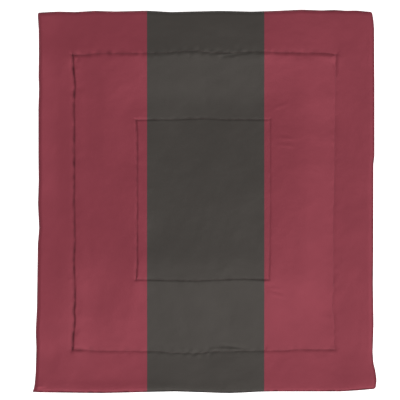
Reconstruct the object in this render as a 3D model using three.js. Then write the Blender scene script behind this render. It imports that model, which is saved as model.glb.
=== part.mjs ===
// A filled comforter laid out flat with its face up. Two cloth faces are sewn together along the
// outline round a thick filling, and quilted through along two rectangles, one inside the other,
// so that the filling swells into a border, a ring and a centre panel.
// Lengths are in millimetres. +Z is up, +X is across to the right and +Y is up the length.
// The origin is on the floor, under the middle of the comforter.

import * as THREE from 'three';

// How far each filled area stands over the sewn lines, at the most
const BORDER_LOFT = 23;
const RING_LOFT = 29;
const CENTRE_LOFT = 27;

// Height of the face where it is sewn down, which is also the height of the seam round the edge
const SEWN_HEIGHT = 8;

// Height to which the quilting lifts the back cloth off the floor
const BACK_PINCH = 3;

// Distance from a sewn line in which the cloth rises quickly, on the face, at the edge of the
// back and at the quilting of the back
const FACE_ROLL = 80;
const BACK_EDGE_ROLL = 45;
const BACK_PINCH_ROLL = 30;

// Roundness of that quick rise: 0.5 is a quarter circle, 1 is a parabola
const ROLL_POWER = 0.7;

// Share of the loft that is one broad arch across a filled area
const ARCH_SHARE = 0.4;

// Distance from the sides at which the centre panel reaches its full arch
const CENTRE_ARCH_REACH = 450;

// How sharply the distances to two sides mitre into each other near a corner
const MITRE_POWER = 4;

// Distances at which the shape is cut in from an edge, and across a line of quilting
const EDGE_STEPS = [0, 6, 22, 60];
const QUILTING_STEPS = [-50, -16, 0, 16, 50];

// Widest step between two cuts in the open cloth
const WIDEST_STEP = 96;

const CLOTH_COLOUR = 0x883f4a;
const CLOTH_ROUGHNESS = 0.62;

// Sewn lines that run up the length, from left to right. Each has its straight place across the
// width, and rows that say how far to the right it wanders at a height up the length.
const UPRIGHT_LINES = [
  {
    name: 'left edge',
    place: -1115,
    wander: [
      { at: -1273, by: -40 },
      { at: -1257, by: -31 },
      { at: -1224, by: -25 },
      { at: -1143, by: -18 },
      { at: -983, by: -14 },
      { at: -876, by: -18 },
      { at: -715, by: -10 },
      { at: -500, by: -7 },
      { at: -286, by: -4 },
      { at: -179, by: 5 },
      { at: -18, by: -3 },
      { at: 143, by: 2 },
      { at: 304, by: 0 },
      { at: 625, by: 0 },
      { at: 759, by: 4 },
      { at: 840, by: 1 },
      { at: 1000, by: 3 },
      { at: 1161, by: 2 },
      { at: 1248, by: -4 },
    ],
  },
  {
    name: 'outer quilting, left',
    place: -874,
    wander: [
      { at: -1003, by: -8 },
      { at: -929, by: -8 },
      { at: -862, by: -1 },
      { at: -795, by: 5 },
      { at: -741, by: 0 },
      { at: -688, by: 6 },
      { at: -594, by: 6 },
      { at: -426, by: -1 },
      { at: -259, by: 6 },
      { at: 9, by: 0 },
      { at: 277, by: 1 },
      { at: 678, by: 0 },
      { at: 779, by: 7 },
      { at: 867, by: -2 },
      { at: 987, by: -8 },
    ],
  },
  {
    name: 'inner quilting, left',
    place: -453,
    wander: [
      { at: -526, by: -6 },
      { at: -431, by: 0 },
      { at: 0, by: 1 },
      { at: 449, by: 0 },
      { at: 544, by: -6 },
    ],
  },
  {
    name: 'inner quilting, right',
    place: 443,
    wander: [
      { at: -526, by: -9 },
      { at: -401, by: -3 },
      { at: 0, by: 2 },
      { at: 544, by: 0 },
    ],
  },
  {
    name: 'outer quilting, right',
    place: 872,
    wander: [
      { at: -963, by: 3 },
      { at: -795, by: 2 },
      { at: -695, by: -14 },
      { at: -594, by: -4 },
      { at: -61, by: -4 },
      { at: 9, by: 3 },
      { at: 479, by: 6 },
      { at: 739, by: 9 },
      { at: 949, by: 13 },
    ],
  },
  {
    name: 'right edge',
    place: 1127,
    wander: [
      { at: -1250, by: 8 },
      { at: -1237, by: 17 },
      { at: -1224, by: 20 },
      { at: -1197, by: 19 },
      { at: -1143, by: 11 },
      { at: -1090, by: -1 },
      { at: -1010, by: -6 },
      { at: -929, by: -3 },
      { at: -822, by: 0 },
      { at: -554, by: -4 },
      { at: -326, by: -2 },
      { at: 250, by: -1 },
      { at: 304, by: 6 },
      { at: 786, by: 6 },
      { at: 949, by: 5 },
      { at: 1161, by: 4 },
      { at: 1215, by: 0 },
      { at: 1262, by: -8 },
    ],
  },
];

// Sewn lines that run across, from the foot up. Each has its straight place up the length, and
// rows that say how far up it wanders at a place across the width.
const LEVEL_LINES = [
  {
    name: 'bottom edge',
    place: -1276,
    wander: [
      { at: -1132, by: 3 },
      { at: -1078, by: -1 },
      { at: -810, by: -5 },
      { at: -676, by: -6 },
      { at: -542, by: -3 },
      { at: -382, by: 1 },
      { at: -194, by: 5 },
      { at: -6, by: -1 },
      { at: 101, by: -5 },
      { at: 181, by: -6 },
      { at: 262, by: -3 },
      { at: 369, by: 3 },
      { at: 476, by: 5 },
      { at: 905, by: 5 },
      { at: 1012, by: 12 },
      { at: 1066, by: 17 },
      { at: 1119, by: 23 },
      { at: 1139, by: 34 },
    ],
  },
  {
    name: 'outer quilting, bottom',
    place: -1004,
    wander: [
      { at: -783, by: 5 },
      { at: -730, by: -3 },
      { at: -303, by: -7 },
      { at: -221, by: -17 },
      { at: -20, by: -20 },
      { at: 47, by: -8 },
      { at: 307, by: -4 },
      { at: 543, by: -2 },
      { at: 597, by: 5 },
      { at: 838, by: 5 },
    ],
  },
  {
    name: 'inner quilting, bottom',
    place: -530,
    wander: [
      { at: -448, by: 0 },
      { at: -67, by: -7 },
      { at: 107, by: 0 },
      { at: 268, by: 6 },
      { at: 427, by: 0 },
    ],
  },
  {
    name: 'inner quilting, top',
    place: 547,
    wander: [
      { at: -448, by: -2 },
      { at: -193, by: 0 },
      { at: -20, by: 8 },
      { at: 127, by: 0 },
      { at: 437, by: -1 },
    ],
  },
  {
    name: 'outer quilting, top',
    place: 989,
    wander: [
      { at: -783, by: -12 },
      { at: -730, by: -3 },
      { at: -303, by: 0 },
      { at: -193, by: 8 },
      { at: -60, by: 15 },
      { at: 47, by: 2 },
      { at: 182, by: 1 },
      { at: 247, by: 8 },
      { at: 437, by: 8 },
      { at: 487, by: 2 },
      { at: 807, by: 1 },
      { at: 865, by: -12 },
    ],
  },
  {
    name: 'top edge',
    place: 1274,
    wander: [
      { at: -1105, by: -11 },
      { at: -1025, by: -6 },
      { at: -971, by: -4 },
      { at: -864, by: -7 },
      { at: -730, by: 1 },
      { at: -596, by: -3 },
      { at: -382, by: 2 },
      { at: -221, by: -7 },
      { at: -114, by: -4 },
      { at: 101, by: 1 },
      { at: 315, by: -4 },
      { at: 476, by: 1 },
      { at: 637, by: 9 },
      { at: 771, by: 4 },
      { at: 851, by: 7 },
      { at: 932, by: 2 },
      { at: 1012, by: 3 },
      { at: 1066, by: -2 },
      { at: 1106, by: -5 },
    ],
  },
];

// Places where the filling has bunched up or thinned out: the middle of each, how far it reaches
// across and up, and how far it lifts the face.
const SWELLS = [
  { name: 'ridge along the top of the ring', x: 0, y: 880, across: 520, up: 75, lift: 9 },
  { name: 'ridge under the centre panel', x: 60, y: -640, across: 560, up: 75, lift: 9 },
  { name: 'dip towards the outer quilting below', x: 60, y: -880, across: 560, up: 70, lift: -6 },
  { name: 'full side of the ring at the right', x: 690, y: 20, across: 80, up: 480, lift: 7 },
  { name: 'thin side of the ring at the left', x: -800, y: 180, across: 90, up: 420, lift: -7 },
  { name: 'lump at the foot of the ring', x: -600, y: -700, across: 110, up: 130, lift: 6 },
  { name: 'dip in the centre panel, left', x: -250, y: -290, across: 110, up: 110, lift: -5 },
  { name: 'dip in the centre panel, right', x: 290, y: -320, across: 110, up: 120, lift: -5 },
  { name: 'ridge up the centre panel', x: 110, y: 40, across: 90, up: 260, lift: 6 },
  { name: 'thin border at the left', x: -960, y: 120, across: 70, up: 430, lift: -7 },
  { name: 'dip near the top left corner', x: -990, y: 1130, across: 90, up: 90, lift: -6 },
  { name: 'dip near the bottom left corner', x: -980, y: -1130, across: 100, up: 90, lift: -6 },
  { name: 'dip near the bottom right corner', x: 1000, y: -1100, across: 110, up: 90, lift: -6 },
];

const [LEFT, OUTER_LEFT, INNER_LEFT, INNER_RIGHT, OUTER_RIGHT, RIGHT] = places(UPRIGHT_LINES);
const [BOTTOM, OUTER_BOTTOM, INNER_BOTTOM, INNER_TOP, OUTER_TOP, TOP] = places(LEVEL_LINES);

const OUTLINE = { left: LEFT, right: RIGHT, bottom: BOTTOM, top: TOP };
const OUTER_QUILTING = {
  left: OUTER_LEFT,
  right: OUTER_RIGHT,
  bottom: OUTER_BOTTOM,
  top: OUTER_TOP,
};
const INNER_QUILTING = {
  left: INNER_LEFT,
  right: INNER_RIGHT,
  bottom: INNER_BOTTOM,
  top: INNER_TOP,
};

/** The straight places of a set of lines. */
function places(lines) {
  return lines.map((line) => line.place);
}

/** How far a line wanders at a distance along it, straight from one row of its table to the next. */
function wanderOf(line, along) {
  const rows = line.wander;
  const next = rows.findIndex((row) => row.at >= along);
  if (next === 0) {
    return rows[0].by;
  }
  if (next === -1) {
    return rows[rows.length - 1].by;
  }
  const before = rows[next - 1];
  const after = rows[next];
  const share = (along - before.at) / (after.at - before.at);
  return THREE.MathUtils.lerp(before.by, after.by, share);
}

/** A straight place moved by the wander of the two lines that it lies between. */
function wandered(lines, place, along) {
  const last = lines.length - 1;
  const above = lines.findIndex((line) => line.place >= place);
  const next = THREE.MathUtils.clamp(above, 1, last);
  const low = lines[next - 1];
  const high = lines[next];
  const share = (place - low.place) / (high.place - low.place);
  return place + THREE.MathUtils.lerp(wanderOf(low, along), wanderOf(high, along), share);
}

/** Straight places at which the shape is cut: close together at the sewn lines, wide between them. */
function cutPlaces(lines) {
  const first = lines[0].place;
  const last = lines[lines.length - 1].place;
  const quilted = lines.slice(1, -1).flatMap((line) => QUILTING_STEPS.map((step) => line.place + step));
  const sewn = [
    ...EDGE_STEPS.map((step) => first + step),
    ...quilted,
    ...EDGE_STEPS.map((step) => last - step).reverse(),
  ];
  return sewn.flatMap((place, index) => {
    if (index === 0) {
      return [place];
    }
    const gap = place - sewn[index - 1];
    const steps = Math.ceil(gap / WIDEST_STEP);
    return Array.from({ length: steps }, (_, step) => sewn[index - 1] + (gap * (step + 1)) / steps);
  });
}

/** The quick rise of the cloth off a sewn line, from 0 at the line to 1 at the end of the roll. */
function rise(distance, roll) {
  const left = 1 - Math.min(distance / roll, 1);
  return (1 - left * left) ** ROLL_POWER;
}

/** The smaller of two distances, rounded off where they are nearly the same. */
function mitred(first, second) {
  if (Math.min(first, second) <= 0) {
    return 0;
  }
  return (first ** -MITRE_POWER + second ** -MITRE_POWER) ** (-1 / MITRE_POWER);
}

/** Distance from a point inside a rectangle to its sides. */
function inside(rectangle, x, y) {
  const across = mitred(x - rectangle.left, rectangle.right - x);
  const up = mitred(y - rectangle.bottom, rectangle.top - y);
  return mitred(across, up);
}

/** Distance from a point to a rectangle that it lies outside of, 0 inside it. */
function outside(rectangle, x, y) {
  const across = Math.max(rectangle.left - x, x - rectangle.right, 0);
  const up = Math.max(rectangle.bottom - y, y - rectangle.top, 0);
  return Math.hypot(across, up);
}

function holds(rectangle, x, y) {
  const across = x >= rectangle.left && x <= rectangle.right;
  return across && y >= rectangle.bottom && y <= rectangle.top;
}

/** Loft of an area between an inner rectangle and an outer one. */
function loftBetween(inner, outer, loft, x, y) {
  const fromInner = outside(inner, x, y);
  const fromOuter = inside(outer, x, y);
  if (Math.min(fromInner, fromOuter) <= 0) {
    return 0;
  }
  const quick = rise(fromInner, FACE_ROLL) * rise(fromOuter, FACE_ROLL);
  const arch = (4 * fromInner * fromOuter) / (fromInner + fromOuter) ** 2;
  return loft * ((1 - ARCH_SHARE) * quick + ARCH_SHARE * arch) + quick * swellAt(x, y);
}

/** Loft of the centre panel. */
function loftOfCentre(x, y) {
  const fromSides = inside(INNER_QUILTING, x, y);
  const quick = rise(fromSides, FACE_ROLL);
  const left = 1 - Math.min(fromSides / CENTRE_ARCH_REACH, 1);
  const arch = 1 - left * left;
  return CENTRE_LOFT * ((1 - ARCH_SHARE) * quick + ARCH_SHARE * arch) + quick * swellAt(x, y);
}

/** The lift of all the swells at a point: each is a round hill that fades out with distance. */
function swellAt(x, y) {
  return SWELLS.reduce((sum, swell) => {
    const across = (x - swell.x) / swell.across;
    const up = (y - swell.y) / swell.up;
    return sum + swell.lift * Math.exp(-(across * across + up * up) / 2);
  }, 0);
}

/** Height of the face at a straight place. */
function faceHeight(x, y) {
  if (holds(INNER_QUILTING, x, y)) {
    return SEWN_HEIGHT + loftOfCentre(x, y);
  }
  if (holds(OUTER_QUILTING, x, y)) {
    return SEWN_HEIGHT + loftBetween(INNER_QUILTING, OUTER_QUILTING, RING_LOFT, x, y);
  }
  return SEWN_HEIGHT + loftBetween(OUTER_QUILTING, OUTLINE, BORDER_LOFT, x, y);
}

/** Height of the back: on the floor, but for the edge and the pinch under each line of quilting. */
function backHeight(x, y) {
  const edge = SEWN_HEIGHT * (1 - rise(inside(OUTLINE, x, y), BACK_EDGE_ROLL));
  const pinches = [OUTER_QUILTING, INNER_QUILTING].map((rectangle) => {
    const distance = Math.max(inside(rectangle, x, y), outside(rectangle, x, y));
    return BACK_PINCH * (1 - rise(distance, BACK_PINCH_ROLL));
  });
  return Math.max(edge, ...pinches);
}

/** The closed body of the comforter: a face and a back of the same cuts, joined round the edge. */
function comforterGeometry() {
  const columns = cutPlaces(UPRIGHT_LINES);
  const rows = cutPlaces(LEVEL_LINES);
  const lastColumn = columns.length - 1;
  const lastRow = rows.length - 1;
  const positions = [];
  const indices = [];

  const onEdge = (column, row) => {
    return column === 0 || row === 0 || column === lastColumn || row === lastRow;
  };
  const facePoint = (column, row) => row * columns.length + column;
  const addPoint = (column, row, height) => {
    const x = wandered(UPRIGHT_LINES, columns[column], rows[row]);
    const y = wandered(LEVEL_LINES, rows[row], columns[column]);
    positions.push(x, y, height(columns[column], rows[row]));
  };

  rows.forEach((_, row) => columns.forEach((__, column) => addPoint(column, row, faceHeight)));

  const backPoints = new Map();
  rows.forEach((_, row) => columns.forEach((__, column) => {
    const shared = facePoint(column, row);
    backPoints.set(shared, onEdge(column, row) ? shared : positions.length / 3);
    if (!onEdge(column, row)) {
      addPoint(column, row, backHeight);
    }
  }));

  for (let row = 0; row < lastRow; row += 1) {
    for (let column = 0; column < lastColumn; column += 1) {
      const corners = [
        facePoint(column, row),
        facePoint(column + 1, row),
        facePoint(column + 1, row + 1),
        facePoint(column, row + 1),
      ];
      // Each cell is folded along the diagonal that points at the nearest corner of the comforter
      const turned = (column < lastColumn / 2) !== (row < lastRow / 2);
      const [a, b, c, d] = turned ? [...corners.slice(1), corners[0]] : corners;
      indices.push(a, b, c, a, c, d);
      const [e, f, g, h] = [a, b, c, d].map((point) => backPoints.get(point));
      indices.push(e, g, f, e, h, g);
    }
  }

  const geometry = new THREE.BufferGeometry();
  geometry.setAttribute('position', new THREE.Float32BufferAttribute(positions, 3));
  geometry.setIndex(indices);
  geometry.computeVertexNormals();
  return geometry;
}

/** Moves a geometry across the floor so that the middle of its box stands over the origin. */
function centreOnFloor(geometry) {
  geometry.computeBoundingBox();
  const middle = geometry.boundingBox.getCenter(new THREE.Vector3());
  geometry.translate(-middle.x, -middle.y, -geometry.boundingBox.min.z);
  return geometry;
}

const cloth = new THREE.MeshStandardMaterial({
  color: CLOTH_COLOUR,
  roughness: CLOTH_ROUGHNESS,
  metalness: 0,
});

const comforter = new THREE.Mesh(centreOnFloor(comforterGeometry()), cloth);
comforter.name = 'comforter';

const part = new THREE.Group();
part.add(comforter);

export default part;
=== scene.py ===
"""A filled comforter laid out flat with its face up, dressed and lit.

The comforter is two cloth faces sewn together round a filling and quilted through along two
rectangles, one inside the other. Its tables are in millimetres, with +X to the right, +Y up the
length and +Z up. Meshes are in metres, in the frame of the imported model.

A straight place is one on the comforter before its sewn lines wander. Heights are worked out at
straight places x and y, arrays of one shape, and the places are moved to where they lie last.
"""

from __future__ import annotations

import itertools
import logging
import math
from dataclasses import dataclass, field
from enum import Enum

import bpy
import numpy as np
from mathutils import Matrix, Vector


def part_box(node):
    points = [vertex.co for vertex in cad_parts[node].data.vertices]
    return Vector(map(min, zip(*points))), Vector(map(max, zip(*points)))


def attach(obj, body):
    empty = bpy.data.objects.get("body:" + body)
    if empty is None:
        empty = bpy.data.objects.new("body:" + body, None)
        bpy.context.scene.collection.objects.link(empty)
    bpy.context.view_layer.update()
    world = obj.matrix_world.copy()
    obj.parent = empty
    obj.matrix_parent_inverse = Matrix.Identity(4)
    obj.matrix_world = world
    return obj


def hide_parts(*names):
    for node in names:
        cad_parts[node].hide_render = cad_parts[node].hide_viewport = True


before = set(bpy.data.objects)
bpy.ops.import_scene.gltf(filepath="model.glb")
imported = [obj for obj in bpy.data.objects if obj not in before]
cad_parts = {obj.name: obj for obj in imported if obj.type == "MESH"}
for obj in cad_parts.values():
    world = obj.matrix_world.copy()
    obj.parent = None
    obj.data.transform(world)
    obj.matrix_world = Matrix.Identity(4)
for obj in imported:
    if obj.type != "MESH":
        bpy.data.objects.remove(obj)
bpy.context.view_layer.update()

NODE = "comforter"
BODY = "root"
MM = 0.001
LOG = logging.getLogger("comforter")

Array = np.ndarray

# Offsets within a reach of 1 to either side, and how much each counts in a soft average.
AVERAGE_OFFSETS = np.linspace(-1.0, 1.0, 9)
AVERAGE_WEIGHTS = np.cos(AVERAGE_OFFSETS * math.pi / 2.2) ** 2

# Stands in for no distance at all where one is divided by.
NO_DISTANCE = 1e-6


class Slot(Enum):
    """The record's material slots."""

    CLOTH = "face_cloth"
    THREAD = "thread"


class Side(Enum):
    """The two cloths of the comforter."""

    FACE = "face"
    BACK = "back"


class Dye(Enum):
    """Colours of the cloth and thread, in linear light."""

    WINE = (0.206, 0.0375, 0.053, 1.0)
    CHARCOAL = (0.0505, 0.045, 0.0405, 1.0)
    THREAD = (0.135, 0.038, 0.046, 1.0)


def hill(distance: Array, reach: Array | float) -> Array:
    """A soft hill, 1 high, that has nearly faded out at its reach: exp(-(distance / reach)^2)."""
    return np.exp(-((distance / reach) ** 2))


def rise(distance: Array, roll: Array | float, power: float) -> Array:
    """The quick rise of cloth off a sewn line: (1 - (1 - d/roll)^2)^power, 1 past the roll."""
    left = 1.0 - np.clip(distance / roll, 0.0, 1.0)
    return (1.0 - left * left) ** power


def mitred(first: Array, second: Array, power: float = 4.0) -> Array:
    """The smaller of two distances, rounded off where they are nearly the same.

    The formula is (first^-p + second^-p)^(-1/p), and 0 where either is 0 or less.

    Args:
        first, second: the distances.
        power: p above, higher for a sharper corner.

    Returns:
        The rounded distance.
    """
    both = np.maximum(first, NO_DISTANCE) ** -power + np.maximum(second, NO_DISTANCE) ** -power
    return np.where(np.minimum(first, second) <= 0.0, 0.0, both ** (-1.0 / power))


@dataclass(frozen=True)
class SewnLine:
    """A line of sewing that runs nearly straight, up or across the comforter.

    Attributes:
        place: its straight place, across the width or up the length.
        wander: how far it leaves that place, by the place along the line.
        smoothing: length over which the corners of that table are rounded off.
    """

    place: float
    wander: dict[float, float]
    smoothing: float = 22.0

    def shift(self, along: Array) -> Array:
        """How far the line has left its place: the table, straight between rows, then averaged.

        Args:
            along: places along the line.

        Returns:
            The shift at each of them.
        """
        at = np.array(list(self.wander), float)
        by = np.array(list(self.wander.values()), float)
        moved = [
            weight * np.interp(along + offset * self.smoothing, at, by)
            for offset, weight in zip(AVERAGE_OFFSETS, AVERAGE_WEIGHTS)
        ]
        return np.sum(moved, axis=0) / AVERAGE_WEIGHTS.sum()


def straight_places(lines: dict[str, SewnLine]) -> Array:
    """The straight places of some sewn lines, in their order."""
    return np.array([line.place for line in lines.values()])


UPRIGHT_LINES = {
    "left edge": SewnLine(-1115, {
        -1273: -40, -1257: -31, -1224: -25, -1143: -18, -983: -14, -876: -18, -715: -10, -500: -7,
        -286: -4, -179: 5, -18: -3, 143: 2, 304: 0, 625: 0, 759: 4, 840: 1, 1000: 3, 1161: 2,
        1248: -4,
    }, 12.0),
    "outer left": SewnLine(-877, {
        -1003: -8, -929: -8, -862: -1, -795: 5, -741: 0, -688: 6, -594: 6, -426: -1, -259: 6,
        9: 0, 277: 1, 678: 0, 779: 7, 867: -2, 987: -8,
    }),
    "inner left": SewnLine(-455, {-526: -6, -431: 0, 0: 1, 449: 0, 544: -6}),
    "inner right": SewnLine(432, {-526: -9, -401: -3, 0: 2, 544: 0}),
    "outer right": SewnLine(861, {
        -963: 3, -795: 2, -695: -14, -594: -4, -61: -4, 9: 3, 479: 6, 739: 9, 949: 13,
    }),
    "right edge": SewnLine(1127, {
        -1250: 16, -1237: 18, -1224: 20, -1197: 19, -1143: 11, -1090: -1, -1010: -6, -929: -3,
        -822: 0, -554: -4, -326: -2, 250: -1, 304: 6, 786: 6, 949: 5, 1161: 4, 1215: 0, 1262: -8,
    }, 12.0),
}

LEVEL_LINES = {
    "bottom edge": SewnLine(-1276, {
        -1132: 3, -1078: -1, -810: -5, -676: -6, -542: -3, -382: 1, -194: 5, -6: -1, 101: -5,
        181: -6, 262: -3, 369: 3, 476: 5, 905: 5, 1012: 12, 1066: 17, 1119: 22, 1139: 27,
    }, 12.0),
    "outer bottom": SewnLine(-994, {
        -783: 5, -730: -3, -303: -7, -221: -17, -20: -20, 47: -8, 307: -4, 543: -2, 597: 5,
        838: 5,
    }),
    "inner bottom": SewnLine(-521, {-448: 0, -67: -7, 107: 0, 268: 6, 427: 0}),
    "inner top": SewnLine(548, {-448: -2, -193: 0, -20: 8, 127: 0, 437: -1}),
    "outer top": SewnLine(991, {
        -783: -12, -730: -3, -303: 0, -193: 8, -60: 15, 47: 2, 182: 1, 247: 8, 437: 8, 487: 2,
        807: 1, 865: -12,
    }),
    "top edge": SewnLine(1274, {
        -1105: -11, -1025: -6, -971: -4, -864: -7, -730: 1, -596: -3, -382: 2, -221: -7,
        -114: -4, 101: 1, 315: -4, 476: 1, 637: 9, 771: 4, 851: 7, 932: 2, 1012: 3, 1066: -2,
        1106: -5,
    }, 12.0),
}


@dataclass(frozen=True)
class Rectangle:
    """A rectangle between four sewn lines.

    Attributes:
        left, right: straight places of its upright lines, across the width.
        bottom, top: straight places of its level lines, up the length.
    """

    left: float
    right: float
    bottom: float
    top: float

    @classmethod
    def between(cls, which: str) -> Rectangle:
        """Picks the four lines whose names have a word.

        Args:
            which: the word, such as outer or edge.

        Returns:
            The rectangle between them.
        """
        left, right = (line.place for name, line in UPRIGHT_LINES.items() if which in name)
        bottom, top = (line.place for name, line in LEVEL_LINES.items() if which in name)
        return cls(left, right, bottom, top)

    def inwards(self, x: Array, y: Array) -> tuple[Array, ...]:
        """Distances inwards from the left, the right, the bottom and the top side."""
        return x - self.left, self.right - x, y - self.bottom, self.top - y

    def inside(self, x: Array, y: Array) -> Array:
        """Distance to the sides from inside, mitred near the corners, and 0 outside."""
        left, right, bottom, top = self.inwards(x, y)
        return mitred(mitred(left, right), mitred(bottom, top))

    def outside(self, x: Array, y: Array) -> Array:
        """Straight distance to the rectangle from outside, and 0 inside.

        Args:
            x, y: straight places.

        Returns:
            The distance of each.
        """
        left, right, bottom, top = self.inwards(x, y)
        across = np.maximum(-np.minimum(left, right), 0.0)
        up = np.maximum(-np.minimum(bottom, top), 0.0)
        return np.hypot(across, up)

    def off_sides(self, x: Array, y: Array) -> Array:
        """Distance to the sides from inside or outside."""
        return np.maximum(self.inside(x, y), self.outside(x, y))


@dataclass(frozen=True)
class Quilting:
    """One side of a quilted rectangle, and the groove that its stitches draw into the face.

    Attributes:
        roll_in: half width of the groove on the inner side.
        roll_out: the same on the outer side.
        depth: how deep it is.
        bank_in: height of the bank of filling beside it on the inner side.
        bank_out: the same on the outer side.
        painted_shade: share of the cloth's colour taken away down in it, as painted shade.
        painted_shade_reach: distance at which that has nearly faded out.
        at_middle: share of all this that is left halfway along the side.
    """

    roll_in: float
    roll_out: float
    depth: float
    bank_in: float
    bank_out: float
    painted_shade: float
    painted_shade_reach: float
    at_middle: float

    def tight(self, along: Array, low: float, high: float) -> Array:
        """Share of the groove that there is at each place, least halfway along the side.

        Args:
            along: places along the side.
            low, high: where it starts and ends.

        Returns:
            The share, which grows with the square of the distance from the middle.
        """
        off_middle = np.minimum(((2.0 * along - low - high) / (high - low)) ** 2, 1.0)
        return self.at_middle + (1.0 - self.at_middle) * off_middle


# The sides in the order of Rectangle.inwards.
# The seventh column is painted shade: the share of the cloth's colour taken away down in each
# groove.
OUTER_SIDES = {
    "left": Quilting(12, 38, 3, 5.2, 0, 0.42, 10, 0.55),
    "right": Quilting(34, 30, 1.1, 0, 0.3, 0.0, 14, 0.8),
    "bottom": Quilting(30, 24, 1.6, 0, 0.9, 0.1, 22, 0.7),
    "top": Quilting(24, 46, 1.6, 3.0, 0, 0.16, 22, 0.7),
}
INNER_SIDES = {
    "left": Quilting(12, 22, 2.5, 2.2, 0, 0.22, 10, 0.6),
    "right": Quilting(22, 14, 1.4, 0, 0.8, 0.05, 14, 0.8),
    "bottom": Quilting(22, 14, 1.5, 0, 1.5, 0.14, 13, 0.8),
    "top": Quilting(14, 22, 1.7, 1.2, 0, 0.17, 12, 0.8),
}
BANK_REACH = 75.0

# Height of the open cloth over the floor, at places across (the row of places) and up.
LIE_ACROSS = (-1115, -1050, -985, -874, -664, -453, 0, 443, 620, 690, 830, 872, 1127)
LIE = {
    1274: (32, 28.5, 25, 27, 31, 36, 38, 37, 31, 28, 21, 20, 18),
    989: (34, 29.5, 25.5, 28.5, 37, 43, 47, 43, 33, 30, 22, 20, 19),
    690: (28, 24, 21, 26, 32, 27, 21, 26, 29, 27, 17, 15, 18),
    547: (27, 21, 19, 25, 31, 25, 18, 26, 27, 25, 11, 12, 18),
    9: (26, 21.5, 18.5, 22.5, 31, 38, 36.5, 37, 36, 33, 12, 12, 17),
    -407: (31, 28.5, 26.5, 29, 33, 41, 44, 42.5, 39, 35, 15, 14, 17),
    -530: (30, 28, 26.5, 29, 32, 39, 41, 41, 38, 34, 15, 14, 17),
    -762: (28, 26.5, 25, 25.5, 28, 24, 24, 24, 24, 22, 14, 14, 17),
    -1004: (25, 22.5, 19.5, 17, 14, 11, 8.5, 9.5, 11, 12, 12, 12, 17),
    -1276: (23, 20, 18, 16, 15, 14, 14, 14, 15, 16, 17, 17, 17),
}


def hats(places: Array, stops: Array, reach: float) -> Array:
    """How much each of some stops counts at each place, going straight from stop to stop.

    Each column is 1 at its stop and 0 at the next ones, averaged over reach to either side.

    Args:
        places: where it is asked for.
        stops: the stops, in rising order.
        reach: how far the corners are rounded off.

    Returns:
        One row for each place and one column for each stop.
    """
    moved = places[:, None] + AVERAGE_OFFSETS * reach
    each = np.stack([np.interp(moved, stops, row) for row in np.eye(stops.size)], -1)
    return np.tensordot(each, AVERAGE_WEIGHTS / AVERAGE_WEIGHTS.sum(), axes=([1], [0]))


@dataclass(frozen=True)
class Swell:
    """A place where the filling has bunched up or thinned out.

    Attributes:
        x, y: its middle.
        across, up: how far it reaches.
        lift: how far it raises the face.
    """

    x: float
    y: float
    across: float
    up: float
    lift: float

    def height(self, x: Array, y: Array) -> Array:
        """A round hill that fades out with distance: lift * exp(-(across^2 + up^2) / 2).

        Args:
            x, y: straight places.

        Returns:
            Its height at each.
        """
        across = (x - self.x) / self.across
        up = (y - self.y) / self.up
        return self.lift * np.exp(-(across * across + up * up) / 2.0)


SWELLS = {
    "dip near the top left corner": Swell(-990, 1130, 70, 70, -2),
    "dip near the bottom left corner": Swell(-1060, -1065, 70, 70, -4),
    "roll inside the bottom edge, left": Swell(-650, -1248, 420, 30, 3.5),
    "rise near the bottom right corner": Swell(1030, -1235, 90, 50, 4),
    "roll beside the outer left quilting, lower": Swell(-980, -640, 56, 250, 4),
    "roll beside the outer left quilting, upper": Swell(-968, 910, 42, 110, 3.5),
    "hollow low in the left of the ring": Swell(-680, -625, 95, 135, -5),
    "hollow low in the left of the centre": Swell(-300, -225, 65, 75, -3),
    "rise low in the left of the centre": Swell(-290, -405, 130, 60, 2.5),
    "rise in the right of the centre": Swell(80, 215, 70, 100, 2.5),
    "rise low in the right of the centre": Swell(200, -60, 60, 110, 1.5),
    "rise beside the outer top left corner": Swell(-1085, 985, 80, 80, 3),
    "rise in the left of the ring": Swell(-705, -335, 80, 120, 3),
    "upright fold low in the ring, left": Swell(-120, -810, 24, 90, -1.2),
    "upright fold low in the ring, right": Swell(165, -800, 26, 80, -1.4),
    "hollow over the inner top quilting": Swell(-140, 630, 30, 50, -1.2),
    "second hollow there": Swell(10, 640, 22, 45, -0.8),
    "upright fold beside the inner right quilting": Swell(600, -330, 24, 130, -1.2),
}


@dataclass(frozen=True)
class Crease:
    """A single soft fold in the face, straight from one end to the other.

    Attributes:
        start, end: its two ends, (x, y).
        width: distance from its middle at which it has faded out.
        lift: height of the fold, or depth where it is below 0.
        fullness: how soon it is at its height from either end, sooner for less.
    """

    start: tuple[float, float]
    end: tuple[float, float]
    width: float
    lift: float
    fullness: float = 0.8

    def height(self, x: Array, y: Array) -> Array:
        """A ridge of bell section, whose height is a half wave from end to end.

        Args:
            x, y: straight places.

        Returns:
            Its height at each: lift * sin(pi * along)^fullness * exp(-(aside / width)^2).
        """
        (x0, y0), (x1, y1) = self.start, self.end
        length = math.hypot(x1 - x0, y1 - y0)
        across_x, along_x = (y0 - y1) / length, (x1 - x0) / length
        along = ((x - x0) * along_x + (y - y0) * (y1 - y0) / length) / length
        aside = (x - x0) * across_x + (y - y0) * along_x
        ends = np.sin(np.clip(along, 0.0, 1.0) * math.pi) ** self.fullness
        return self.lift * ends * hill(aside, self.width)


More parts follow.
